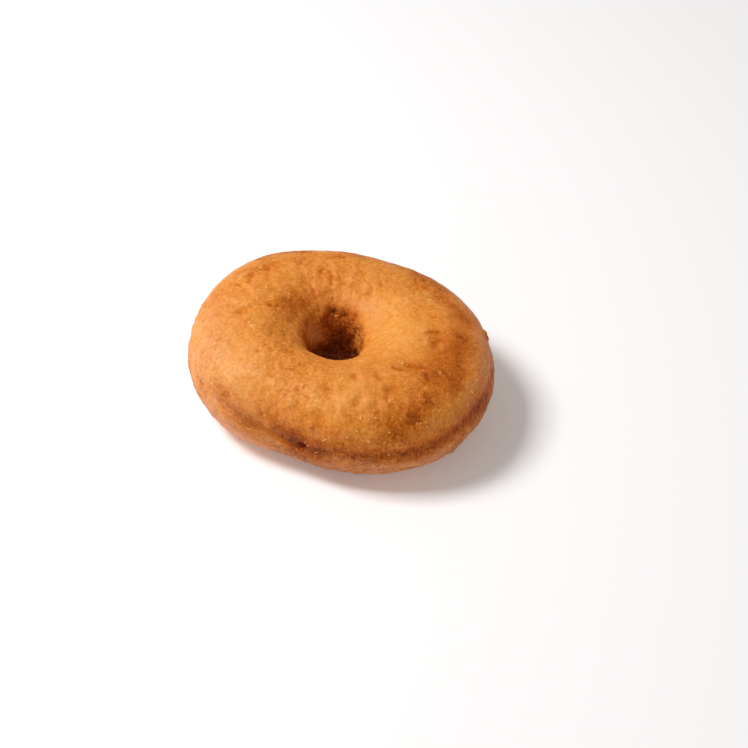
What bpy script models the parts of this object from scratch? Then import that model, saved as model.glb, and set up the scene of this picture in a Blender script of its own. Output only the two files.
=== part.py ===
"""A plain ring doughnut: an oval, uneven ring of fried dough that rests on its flat underside.

Metres, +Z up. The long way lies along X, and the origin is the middle of the underside's box.
A place on the ring has two angles. The turn goes round the hole, from +X towards +Y. The section
angle goes round the dough: 0 at the outermost line, 90 on the crest, 180 in the hole, 270 below.
"""

import math

import bpy
from mathutils import Vector, noise
from mathutils.geometry import intersect_point_line

MM = 0.001

# Plan
LENGTH = 98.9 * MM
WIDTH = 82.6 * MM
HOOP_WAVES = (  # waves round the turn, phase in degrees, share of the radius
    (4, 241, 0.018),
    (3, 270, 0.012),
    (5, 90, 0.006),
)
FLAT_SIDE_TURN = math.radians(-97)  # the flatter of the long sides
FLAT_SIDE_SPREAD = math.radians(26)
FLAT_SIDE_DEPTH = 1.4 * MM
HOLE_DIAMETER = 19.6 * MM  # at the throat, the mean of both ways
HOLE_STRETCH = 0.09
HOLE_LONG_WAY = math.radians(-62)
HOLE_OFFSET = (-2.4 * MM, -0.5 * MM)

# Section
HEIGHT = 32.8 * MM  # of the crest, before the underside is pressed flat
HEIGHT_LEAN = 1.3 * MM  # the crest is this much higher at -X, and lower at +X
PRESSED = 0.7 * MM
WIDEST_LEVEL = 18.0 * MM
THROAT_LEVEL = 15.0 * MM
CREST_SHARE = 0.45  # the crest's place between throat and outside
FOOT_SHARE = 0.50
FUNNEL_DROP = 7.5 * MM  # from the crest down to the edge of the hole
FULLNESS = {  # exponent of each quarter's oval: 2 is an ellipse, more has a tighter corner
    "outer_top": 2.5,
    "inner_top": 12.0,
    "inner_foot": 3.0,
    "outer_foot": 2.2,
}

# The brown line where the two fried halves meet, and the lip under it
SEAM_LEVEL = 18.6 * MM
SEAM_WAVE = 3.5 * MM  # higher towards both long ends
SEAM_HIGH_TURN = math.radians(20)
SEAM_HALF_WIDTH = 2.4 * MM
SEAM_DEPTH = 0.40 * MM
LIP_DROP = 5.5 * MM  # from the seam down to the fullest line of the lip
LIP_HALF_WIDTH = 3.0 * MM
LIP_PROUD = 0.45 * MM

# Slow swells: waves round the turn, waves round the section, phase in degrees, height
SWELLS = (
    (3, 1, 40, 0.34 * MM),
    (5, 2, 150, 0.26 * MM),
    (8, 1, 255, 0.17 * MM),
    (11, 3, 75, 0.13 * MM),
)
SWELL_IN_HOLE = 0.2  # share of a swell that is left at the throat

# Dents and folds: turn and section angle of both ends in degrees, half width, depth
DENTS = (
    ((14, 76), (14, 76), 2.3 * MM, 0.75 * MM),
    ((-22, 91), (-11, 77), 1.4 * MM, 0.60 * MM),
    ((-10, 63), (-10, 63), 1.5 * MM, 0.45 * MM),
    ((-35, 86), (-35, 86), 1.7 * MM, 0.50 * MM),
    ((-51, 88), (-51, 88), 1.7 * MM, 0.50 * MM),
    ((-68, 67), (-66, 58), 1.9 * MM, 0.40 * MM),
    ((-71, 37), (-69, 31), 2.0 * MM, 0.40 * MM),
    ((-78, -11), (-78, -11), 1.4 * MM, 0.90 * MM),
    ((-120, 60), (-112, 48), 2.4 * MM, 0.35 * MM),
    ((-160, 79), (-153, 78), 2.2 * MM, 0.40 * MM),
    ((-171, 110), (-175, 101), 1.7 * MM, 0.45 * MM),
    ((-179, 65), (163, 74), 1.5 * MM, 0.50 * MM),
    ((146, 118), (147, 94), 1.4 * MM, 0.50 * MM),
    ((135, 112), (134, 92), 1.3 * MM, 0.45 * MM),
    ((128, 122), (127, 100), 1.4 * MM, 0.50 * MM),
    ((116, 112), (115, 90), 1.4 * MM, 0.45 * MM),
    ((150, 34), (159, 24), 2.4 * MM, 0.40 * MM),
    ((104, 22), (95, 12), 2.4 * MM, 0.40 * MM),
    ((66, 76), (62, 68), 1.8 * MM, 0.45 * MM),
    ((53, 66), (51, 58), 1.8 * MM, 0.30 * MM),
)

# Small bumps all over
BUMP_SPACING = 6.5 * MM
BUMP_HEIGHT = 0.22 * MM
PLAIN_BELOW = 3.5 * MM  # relief fades out towards the underside

TURN_SEGMENTS = 108
SECTION_SEGMENTS = 46

CRUST_COLOUR = (0.72, 0.33, 0.085, 1.0)
CRUST_ROUGHNESS = 0.55


def clear_scene():
    for obj in list(bpy.data.objects):
        bpy.data.objects.remove(obj, do_unlink=True)


def bell(offset, half_width):
    return math.exp(-((offset / half_width) ** 2))


def outer_radius(turn):
    """Radius of the ring's outermost line, seen from above."""
    mean = (LENGTH + WIDTH) / 4
    share = 1 + (LENGTH - WIDTH) / (LENGTH + WIDTH) * math.cos(2 * turn)
    for waves, phase, size in HOOP_WAVES:
        share += size * math.cos(waves * turn - math.radians(phase))
    from_flat = math.remainder(turn - FLAT_SIDE_TURN, math.tau)
    return mean * share - FLAT_SIDE_DEPTH * bell(from_flat, FLAT_SIDE_SPREAD)


def throat_radius(turn):
    """Radius of the hole at its narrowest, from the ring's own axis."""
    stretch = 1 + HOLE_STRETCH * math.cos(2 * (turn - HOLE_LONG_WAY))
    shift = HOLE_OFFSET[0] * math.cos(turn) + HOLE_OFFSET[1] * math.sin(turn)
    return HOLE_DIAMETER / 2 * stretch + shift


def form_point(turn, angle):
    """The smooth ring: each section is four quarter ovals that meet at its widest lines."""
    outer = outer_radius(turn)
    throat = throat_radius(turn)
    outward = math.cos(angle) >= 0
    upward = math.sin(angle) >= 0
    crest = HEIGHT - HEIGHT_LEAN * math.cos(turn)
    middle = throat + (CREST_SHARE if upward else FOOT_SHARE) * (outer - throat)
    level = WIDEST_LEVEL if outward else THROAT_LEVEL
    fullness = FULLNESS[("outer" if outward else "inner") + ("_top" if upward else "_foot")]
    across = abs(math.cos(angle))
    rise = abs(math.sin(angle))
    reach = (across**fullness + rise**fullness) ** (-1 / fullness)
    across *= reach
    rise *= reach
    radius = middle + ((outer if outward else throat) - middle) * across
    height = level + (crest - level if upward else -level) * rise
    if upward and not outward:
        height -= FUNNEL_DROP * across**2 * rise
    return Vector((radius * math.cos(turn), radius * math.sin(turn), height))


def seam_relief(turn, angle, height):
    """A shallow groove round the outside, and the fuller lip below it."""
    facing_out = max(0.0, math.cos(angle))
    seam = SEAM_LEVEL + SEAM_WAVE * math.cos(2 * (turn - SEAM_HIGH_TURN))
    groove = SEAM_DEPTH * bell(height - seam, SEAM_HALF_WIDTH)
    lip = LIP_PROUD * bell(height - seam + LIP_DROP, LIP_HALF_WIDTH)
    return facing_out * (lip - groove)


def swell_relief(turn, angle):
    total = sum(
        size * math.sin(turns * turn + math.radians(phase)) * math.cos(sections * angle)
        for turns, sections, phase, size in SWELLS
    )
    outwardness = (1 + math.cos(angle)) / 2
    return total * (SWELL_IN_HOLE + (1 - SWELL_IN_HOLE) * outwardness)


def dent_lines():
    """Each dent as the two ends of its line on the smooth ring, its half width and its depth."""
    lines = []
    for start, end, half_width, depth in DENTS:
        ends = [form_point(math.radians(turn), math.radians(angle)) for turn, angle in (start, end)]
        lines.append((*ends, half_width, depth))
    return lines


def dent_relief(point, lines):
    total = 0.0
    for start, end, half_width, depth in lines:
        along = (end - start).length
        nearest = start
        if along > 0:
            share = intersect_point_line(point, start, end)[1]
            nearest = start.lerp(end, min(1.0, max(0.0, share)))
        total -= depth * bell((point - nearest).length, half_width)
    return total


def make_ring(name):
    """The primitive torus, with every vertex moved to its place on the uneven ring."""
    middle = (LENGTH + HOLE_DIAMETER) / 4
    bpy.ops.mesh.primitive_torus_add(
        major_segments=TURN_SEGMENTS,
        minor_segments=SECTION_SEGMENTS,
        major_radius=middle,
        minor_radius=middle / 2,
    )
    ring = bpy.context.object
    ring.name = name
    ring.data.name = name
    places = []
    for vertex in ring.data.vertices:
        turn = math.atan2(vertex.co.y, vertex.co.x)
        angle = math.atan2(vertex.co.z, vertex.co.xy.length - middle)
        places.append((turn, angle))
        vertex.co = form_point(turn, angle)
    ring.data.update()
    add_relief(ring.data, places)
    return ring


def add_relief(mesh, places):
    """Moves each vertex along its normal by the seam, the swells, the dents and the bumps."""
    lines = dent_lines()
    normals = [vertex.normal.copy() for vertex in mesh.vertices]
    for vertex, normal, (turn, angle) in zip(mesh.vertices, normals, places):
        point = vertex.co.copy()
        relief = seam_relief(turn, angle, point.z) + swell_relief(turn, angle)
        relief += dent_relief(point, lines)
        relief += BUMP_HEIGHT * noise.noise(point / BUMP_SPACING)
        relief *= min(1.0, max(0.0, point.z) / PLAIN_BELOW)
        vertex.co = point + normal * relief


def press_flat(mesh):
    """Sets the ring down so that its underside is flat, with the origin in the middle of its box."""
    for vertex in mesh.vertices:
        vertex.co.z = max(0.0, vertex.co.z - PRESSED)
    for axis in range(2):
        values = [vertex.co[axis] for vertex in mesh.vertices]
        centre = (min(values) + max(values)) / 2
        for vertex in mesh.vertices:
            vertex.co[axis] -= centre
    mesh.update()


def crust_material():
    material = bpy.data.materials.new("crust")
    material.use_nodes = True
    shader = material.node_tree.nodes["Principled BSDF"]
    shader.inputs["Base Color"].default_value = CRUST_COLOUR
    shader.inputs["Roughness"].default_value = CRUST_ROUGHNESS
    shader.inputs["Metallic"].default_value = 0.0
    return material


def main():
    clear_scene()
    collection = bpy.data.collections.new("ring_doughnut")
    bpy.context.scene.collection.children.link(collection)
    ring = make_ring("doughnut")
    for home in list(ring.users_collection):
        home.objects.unlink(ring)
    collection.objects.link(ring)
    press_flat(ring.data)
    ring.data.materials.append(crust_material())
    ring.data.shade_smooth()


main()
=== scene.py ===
import math

import bmesh
import bpy
from mathutils import Matrix, Vector


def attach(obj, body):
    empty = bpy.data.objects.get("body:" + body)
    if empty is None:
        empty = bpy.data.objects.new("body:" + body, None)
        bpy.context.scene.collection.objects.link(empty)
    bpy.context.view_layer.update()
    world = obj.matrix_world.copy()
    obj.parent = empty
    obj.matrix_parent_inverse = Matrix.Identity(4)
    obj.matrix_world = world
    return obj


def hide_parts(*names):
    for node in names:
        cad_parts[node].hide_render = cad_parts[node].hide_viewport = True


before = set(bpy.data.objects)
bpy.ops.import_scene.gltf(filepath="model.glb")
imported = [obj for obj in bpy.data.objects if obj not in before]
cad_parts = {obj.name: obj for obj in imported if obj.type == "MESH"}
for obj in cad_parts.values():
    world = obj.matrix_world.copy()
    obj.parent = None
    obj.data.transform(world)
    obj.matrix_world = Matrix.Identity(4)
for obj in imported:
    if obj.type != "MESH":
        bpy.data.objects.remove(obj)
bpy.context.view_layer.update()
print("frame loaded")

mm = 0.001


def operator(operation, reflected=False):
    def apply(self, other):
        values = (other, self) if reflected else (self, other)
        return self.graph.math(operation, *values)

    return apply


class Value:
    # a socket that can be written in an expression
    def __init__(self, graph, socket):
        self.graph = graph
        self.socket = socket

    __add__, __radd__ = operator("ADD"), operator("ADD", True)
    __sub__, __rsub__ = operator("SUBTRACT"), operator("SUBTRACT", True)
    __mul__, __rmul__ = operator("MULTIPLY"), operator("MULTIPLY", True)
    __truediv__, __rtruediv__ = operator("DIVIDE"), operator("DIVIDE", True)

    def __neg__(self):
        return self * -1.0


class Graph:
    # a node tree: node makes any node, and the rest are short ways to use it
    def __init__(self, tree):
        self.tree = tree

    def feed(self, socket, value):
        if isinstance(value, Value):
            self.tree.links.new(value.socket, socket)
        elif isinstance(value, Vector):
            socket.default_value = tuple(value)
        else:
            socket.default_value = value

    def node(self, kind, settings=None, inputs=None):
        made = self.tree.nodes.new(kind)
        for name, value in (settings or {}).items():
            if name == "stops":
                self.setStops(made.color_ramp, value)
            else:
                setattr(made, name, value)
        for key, value in (inputs or {}).items():
            self.feed(made.inputs[key], value)
        return made

    def setStops(self, ramp, stops):
        while len(ramp.elements) < len(stops):
            ramp.elements.new(1.0)
        for element, (place, colour) in zip(ramp.elements, stops):
            element.position = place
            element.color = (*colour, 1.0)

    def out(self, node, key=0):
        return Value(self, node.outputs[key])

    def made(self, kind, inputs=None, settings=None, key=0):
        return self.out(self.node(kind, settings, inputs), key)

    def math(self, operation, *values):
        return self.made("ShaderNodeMath", dict(enumerate(values)), {"operation": operation})

    def vector(self, operation, *values, scale=None, key=0):
        inputs = dict(enumerate(values))
        if scale is not None:
            inputs["Scale"] = scale
        return self.made("ShaderNodeVectorMath", inputs, {"operation": operation}, key)

    def combine(self, x, y, z):
        return self.made("ShaderNodeCombineXYZ", {"X": x, "Y": y, "Z": z})

    def parts(self, vector):
        made = self.node("ShaderNodeSeparateXYZ", None, {"Vector": vector})
        return tuple(self.out(made, key) for key in "XYZ")

    def noiseNode(self, place, size, detail=2.0, roughness=0.5, warp=0.0, fourth=None):
        # its spots are about size across
        inputs = {"Vector": place, "Scale": 0.5 / size, "Detail": detail}
        inputs.update({"Roughness": roughness, "Distortion": warp})
        if fourth is not None:
            inputs["W"] = fourth
        settings = {"noise_dimensions": "3D" if fourth is None else "4D"}
        return self.node("ShaderNodeTexNoise", settings, inputs)

    def noise(self, *values, **named):
        # from -1 to 1
        return (self.out(self.noiseNode(*values, **named), "Fac") - 0.5) * 2.0

    def spots(self, place, kind):
        size, *rest = kind  # as in ringNoises
        return self.noise(place, size * mm, *rest)

    def blend(self, factor, first, second, mode="MIX"):
        settings = {"data_type": "RGBA", "blend_type": mode}
        inputs = {"Factor": factor, "A": first, "B": second}
        return self.made("ShaderNodeMix", inputs, settings, "Result")

    def captured(self, geometry, kind, **fields):
        # the geometry, and what the fields are on it now
        made = self.node("GeometryNodeCaptureAttribute")
        for name in fields:
            made.capture_items.new(kind, name)
        for name, value in {"Geometry": geometry, **fields}.items():
            self.feed(made.inputs[name], value)
        return tuple(self.out(made, name) for name in ("Geometry", *fields))

    def stored(self, geometry, name, value):
        settings = {"data_type": "FLOAT", "domain": "POINT"}
        inputs = {"Geometry": geometry, "Name": name, "Value": value}
        return self.made("GeometryNodeStoreNamedAttribute", inputs, settings)

    def moved(self, geometry, **how):
        return self.made("GeometryNodeSetPosition", {"Geometry": geometry, **how})


def sums(operation, plain):
    # the same sum for plain numbers and for sockets
    def apply(*values):
        sockets = [value for value in values if isinstance(value, Value)]
        return sockets[0].graph.math(operation, *values) if sockets else plain(*values)

    return apply


sine = sums("SINE", math.sin)
cosine = sums("COSINE", math.cos)
absolute = sums("ABSOLUTE", abs)
power = sums("POWER", pow)
exponent = sums("EXPONENT", math.exp)
least = sums("MINIMUM", min)
most = sums("MAXIMUM", max)
above = sums("GREATER_THAN", lambda value, limit: float(value > limit))
wrapped = sums("WRAP", lambda value, high, low: math.remainder(value, high - low))


def choose(test, first, second):
    return second + (first - second) * test


def bell(offset, halfWidth):
    return exponent(-(offset / halfWidth) * (offset / halfWidth))


def band(value, middle, halfWidth):
    return bell(value - middle, halfWidth)


def turnBell(turn, degrees, spread):
    return bell(wrapped(turn - math.radians(degrees), math.pi, -math.pi), math.radians(spread))


def clamped(value, low=0.0, high=1.0):
    return least(most(value, low), high)


def step(value, low, high):
    # 0 below low, 1 above high, straight between them
    return clamped((value - low) / (high - low))


# where the photograph was taken from
photo = {
    "size": 748,
    "azimuth": 30.0,
    "elevation": 40.0,
    "distance": 0.6,
    "focal": 1920.0,  # in the photograph's pixels
    "centre": (0.0, 0.0, 16.0 * mm),
    "place": (343.6, 358.2),  # where the centre shows
    "sensor": 36.0,  # mm
    "nearest": 0.01,
}


def viewAxes():
    azimuth, elevation = math.radians(photo["azimuth"]), math.radians(photo["elevation"])
    level = math.cos(elevation)
    back = Vector((math.sin(azimuth) * level, -math.cos(azimuth) * level, math.sin(elevation)))
    right = Vector((math.cos(azimuth), math.sin(azimuth), 0.0))
    return right, back.cross(right), back


# the ring's form: each of these is an input of its tree
ring = {
    "length": 98.9 * mm,
    "width": 82.6 * mm,
    "flat side": 1.4 * mm,
    "hole": 19.6 * mm,
    "hole stretch": 0.09,
    "hole shift x": -2.4 * mm,
    "hole shift y": -0.5 * mm,
    "height": 32.8 * mm,
    "lean": 1.3 * mm,
    "pressed": 0.7 * mm,
    "widest level": 18.0 * mm,
    "throat level": 15.0 * mm,
    "crest share": 0.45,
    "foot share": 0.5,
    "funnel drop": 7.5 * mm,
    "outer top": 2.5,
    "inner top": 12.0,
    "inner foot": 3.0,
    "outer foot": 2.2,
    "seam level": 18.6 * mm,
    "seam wave": 3.5 * mm,
    "seam depth": 0.4 * mm,
    "seam half width": 2.4 * mm,
    "lip drop": 5.5 * mm,
    "lip proud": 0.45 * mm,
    "lip half width": 3.0 * mm,
    "plain below": 3.5 * mm,
    "bumps": 0.36 * mm,
    "ripples": 0.26 * mm,
    "lumps": 0.26 * mm,
    "creases": 0.05 * mm,
    "peel": 0.16 * mm,
    "grain": 0.08 * mm,
    "pits": 0.28 * mm,
    "blisters": 0.16 * mm,
    "hole crust": 1.0 * mm,
}
ringSteps = {"turn steps": 420, "section steps": 226}
crowding = 0.3  # of the section's steps, which are finer above than below
calmTurn = math.radians(105.0)  # where the smoother far side is
boxShift = Vector((-0.44 * mm, -0.81 * mm, -ring["pressed"]))  # from the rule's own axis to the box
holeLongWay = math.radians(-62)
seamHighTurn = math.radians(20)
# waves round the turn, phase in degrees, share of the radius
hoopWaves = ((4, 241, 0.018), (3, 270, 0.012), (5, 90, 0.006))
# waves round the turn, waves round the section, phase in degrees, height
swells = (
    (3, 1, 40, 0.34 * mm),
    (5, 2, 150, 0.26 * mm),
    (8, 1, 255, 0.17 * mm),
    (11, 3, 75, 0.13 * mm),
)
swellInHole = 0.2  # share of a swell that is left at the throat

# each noise: the size of its spots in mm, its detail, roughness and warp
ringNoises = {
    "edge": (1.6, 1.0),
    "wobble": (7.0, 2.0),
    "shake": (2.2, 1.0),
    "bumps": (3.4, 1.0),
    "lumps": (2.0, 1.0, 0.5, 0.6),
    "peel": (1.1, 1.0, 0.5, 0.8),
    "grain": (0.55, 1.0),
    "rough": (9.0, 0.0),
    "creases": (3.0, 0.0),
    "fine crumbs": (0.9, 2.0, 0.6),
    "coarse crumbs": (2.2, 1.0),
}
# how much of each there is
amounts = {
    "edge": 0.1,
    "wobble": 0.8,  # mm
    "ripple waves": 8.0,  # round the turn
    "ripple rings": 2.2,  # round the section
    "rough everywhere": 0.55,
    "rough left": 0.4,
    "rough patches": 1.1,
    "calm": 0.55,
    "crease width": 0.07,
    "crumbs": 0.6,
}
pitSpread = {"spacing": 4.6 * mm, "halfWidth": 0.75 * mm, "left": 0.55}
blisterSpread = {"spacing": 3.4 * mm, "halfWidth": 0.7 * mm, "left": 0.45}
blisterShift = Vector((0.05, 0.02, 0.01))  # so that blisters and pits don't share their cells
# parts of the ring: turn and spread in degrees
sides = {
    "flat": (-97, 26),
    "rough left": (-145, 50),
    "right": (10, 18),
    "front": (-32, 16),
    "left front": (-92, 34),
    "clean left": (-118, 26),
    "clean front": (-32, 18),
    # where the painted sheen on the lit left lies
    "pale left": (-130, 32),
    "speckled": (-45, 40),
    "golden": (-46, 22),
}
# where something begins, and from where on it is whole
fades = {
    "wall": (0.68, 0.78),  # by how far the section faces the hole
    "wall foot": (1.0 * mm, 4.0 * mm),  # by height
    # the darkening that grows with depth in the hole is painted shade
    "hole depth": (-24.0 * mm, -15.0 * mm),  # by depth
    "rough left": (-0.6, 0.2),  # these six by how far the section faces outwards
    "calm": (0.15, 0.45),
    "belt": (0.1, 0.5),
    "under": (-0.5, 0.2),
    "pale left": (0.1, 0.8),
    "ruddy rim": (0.0, 0.4),
    "rough patches": (-0.25, 0.45),  # by noise
    "top": (0.0, 0.5),  # by how far the section faces up
    "calm turn": (0.1, 0.6),
    "below seam": (2.5 * mm, 6.0 * mm),
}

# dents and folds: both ends as (turn, section) in degrees, half width and depth in mm
dents = (
    ((14, 76), (14, 76), 2.3, 0.75),
    ((-22, 91), (-11, 77), 1.4, 0.6),
    ((-10, 63), (-10, 63), 1.5, 0.45),
    ((-35, 86), (-35, 86), 1.7, 0.5),
    ((-51, 88), (-51, 88), 1.7, 0.5),
    ((-68, 67), (-66, 58), 1.9, 0.4),
    ((-71, 37), (-69, 31), 2.0, 0.4),
    ((-120, 60), (-112, 48), 2.4, 0.35),
    ((-160, 79), (-153, 78), 2.2, 0.4),
    ((-171, 110), (-175, 101), 1.7, 0.45),
    ((-179, 65), (163, 74), 1.5, 0.5),
    ((146, 118), (147, 94), 1.4, 0.5),
    ((135, 112), (134, 92), 1.3, 0.45),
    ((128, 122), (127, 100), 1.4, 0.5),
    ((116, 112), (115, 90), 1.4, 0.45),
    ((150, 34), (159, 24), 2.4, 0.4),
    ((104, 22), (95, 12), 2.4, 0.4),
    ((66, 76), (62, 68), 1.8, 0.45),
    ((53, 66), (51, 58), 1.8, 0.3),
)
pit = {
    "place": (-78, -11),
    "radius": 1.2,  # mm
    "depth": 1.9,
    "edge": 4.0,  # 2 is a bell, and more has a steeper edge
    # its dark colour is painted shade
    "shade": (-78, -13.5),  # the middle of its dark colour
    "shade edge": (0.8, 1.08),
    "ragged": 0.4,
    "rim": (1.5, 0.3),  # middle and half width
}

# small hollows, and ridges with a depth below 0: both ends, half width, depth, browning; that browning is
# painted shade in the hollows and, below 0, a painted sheen on the ridges
marks = (
    # the near side
    ((-51, 93), (-51, 85), 0.9, 0.22, 0.06),
    ((-35, 91), (-36, 82), 0.8, 0.25, 0.07),
    ((-66, 68), (-66, 68), 0.8, 0.12, 0.08),
    ((-58, 75), (-60, 66), 0.8, 0.15, 0.03),
    ((-51, 64), (-54, 55), 1.1, 0.3, 0.08),
    ((-44, 59), (-45, 54), 0.65, 0.25, 0.1),
    ((-34, 71), (-39, 62), 1.3, 0.4, 0.1),
    ((-76, 50), (-76, 50), 0.7, 0.15, 0.05),
    ((-71, 38), (-71, 38), 0.9, 0.18, 0.04),
    ((-72, 22), (-72, 16), 0.6, 0.25, 0.22),
    ((-47, 89), (-47, 89), 1.0, -0.2, -0.04),
    ((-30, 90), (-31, 84), 0.8, -0.2, -0.04),
    ((-48, 61), (-49, 56), 0.9, -0.18, -0.04),
    ((-61, 49), (-62, 38), 0.8, -0.15, -0.04),
    ((-38, 76), (-39, 72), 0.8, -0.2, -0.04),
    ((-73, 55), (-67, 47), 1.3, -0.1, -0.08),
    # the right side
    ((-14, 69), (-16, 65), 0.95, 0.35, 0.26),
    ((19, 84), (20, 78), 1.0, 0.4, 0.24),
    ((11, 79), (8, 77), 0.9, 0.35, 0.08),
    ((9, 81), (4, 78), 0.55, 0.25, 0.08),
    ((-22, 89), (-19, 82), 1.1, 0.5, 0.12),
    ((-14, 86), (-10, 73), 0.9, 0.45, 0.12),
    ((-18, 79), (-18, 79), 0.5, 0.25, 0.15),
    ((-24, 63), (-24, 63), 0.5, 0.2, 0.1),
    ((-18, 62), (-18, 56), 0.6, 0.2, 0.05),
    ((-6, 62), (-7, 59), 0.45, 0.2, 0.14),
    ((-23, 51), (-22, 49), 0.9, 0.15, 0.1),
    ((2, 54), (1, 50), 0.9, 0.15, 0.1),
    ((-4, 47), (-4, 47), 0.6, 0.15, 0.08),
    ((-34, 42), (-30, 37), 0.8, 0.2, 0.08),
    ((-34, 35), (-30, 33), 0.8, 0.2, 0.1),
    ((36, 81), (35, 77), 0.9, 0.25, 0.05),
    ((34, 72), (34, 72), 0.6, 0.2, 0.05),
    ((20, 88), (20, 88), 0.5, -0.2, -0.05),
    ((13, 85), (8, 84), 0.5, -0.2, -0.05),
    ((10, 72), (9, 70), 1.0, -0.28, -0.07),
    ((-11, 82), (-11, 79), 0.9, -0.25, -0.04),
    ((-20, 60), (-20, 57), 0.6, -0.15, -0.05),
    ((33, 31), (30, 27), 0.6, -0.8, 0.3),
    ((-15, -32), (-15, -32), 0.8, -0.5, 0.08),
    # the far right
    ((90, 108), (89, 116), 0.8, 0.35, 0.08),
    ((85, 95), (82, 100), 0.65, 0.25, 0.1),
    ((108, 115), (106, 110), 0.65, 0.25, 0.05),
    ((102, 90), (101, 97), 0.8, 0.25, 0.06),
    ((72, 65), (62, 76), 0.55, 0.22, 0.08),
    ((70, 59), (70, 59), 0.65, 0.1, 0.12),
    ((84, 61), (84, 61), 0.8, 0.12, 0.18),
    ((74, 110), (74, 110), 0.6, 0.15, 0.05),
    ((59, 56), (58, 50), 0.65, 0.2, 0.1),
    ((45, 67), (45, 67), 0.6, 0.15, 0.06),
    ((43, 61), (43, 61), 0.6, 0.15, 0.08),
    ((84, 112), (84, 110), 0.7, -0.2, -0.04),
    ((96, 111), (96, 108), 0.7, -0.2, -0.04),
    ((88, 103), (88, 101), 0.6, -0.15, -0.04),
    ((58, 89), (59, 78), 0.7, -0.18, -0.04),
    # the far rim and the funnel's top
    ((145, 83), (140, 73), 0.8, 0.25, 0.12),
    ((132, 94), (136, 101), 0.65, 0.3, 0.14),
    ((125, 103), (127, 115), 0.8, 0.3, 0.06),
    ((145, 113), (146, 121), 0.5, 0.35, 0.1),
    ((148, 125), (148, 125), 0.9, 0.3, 0.12),
    ((129, 127), (128, 128), 0.5, 0.3, 0.12),
    ((156, 104), (156, 104), 0.5, 0.2, 0.06),
    ((122, 67), (118, 70), 0.8, 0.2, 0.12),
    # the far left
    ((171, 71), (177, 74), 0.8, 0.4, 0.1),
    ((177, 74), (-179, 68), 0.65, 0.35, 0.08),
    ((162, 74), (168, 84), 0.8, 0.35, 0.08),
    ((178, 98), (178, 98), 0.5, 0.25, 0.12),
    ((173, 111), (173, 111), 0.5, 0.2, 0.1),
    ((-168, 90), (-168, 90), 0.65, 0.3, 0.12),
    ((-157, 80), (-160, 84), 1.2, 0.15, 0.1),
    ((-168, 108), (-173, 113), 0.8, 0.3, 0.18),
    ((-164, 68), (-158, 68), 0.5, 0.15, 0.05),
    ((170, 66), (179, 65), 0.8, -0.3, -0.05),
    # the left side
    ((-140, 81), (-144, 87), 0.9, 0.15, 0.05),
    ((-128, 63), (-128, 63), 0.5, 0.2, 0.06),
    ((-124, 48), (-126, 52), 0.5, 0.2, 0.05),
    ((-108, 36), (-108, 36), 0.5, 0.2, 0.08),
    ((-106, 79), (-104, 73), 0.6, 0.2, 0.08),
    ((-96, 65), (-95, 49), 0.8, 0.15, 0.06),
    ((-120, 89), (-120, 89), 0.9, 0.15, 0.05),
    ((-139, 29), (-134, 10), 1.0, 0.2, 0.1),
    ((-99, 23), (-98, 16), 0.5, 0.35, 0.12),
    ((-97, 36), (-97, 36), 0.6, 0.15, 0.06),
)
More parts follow.
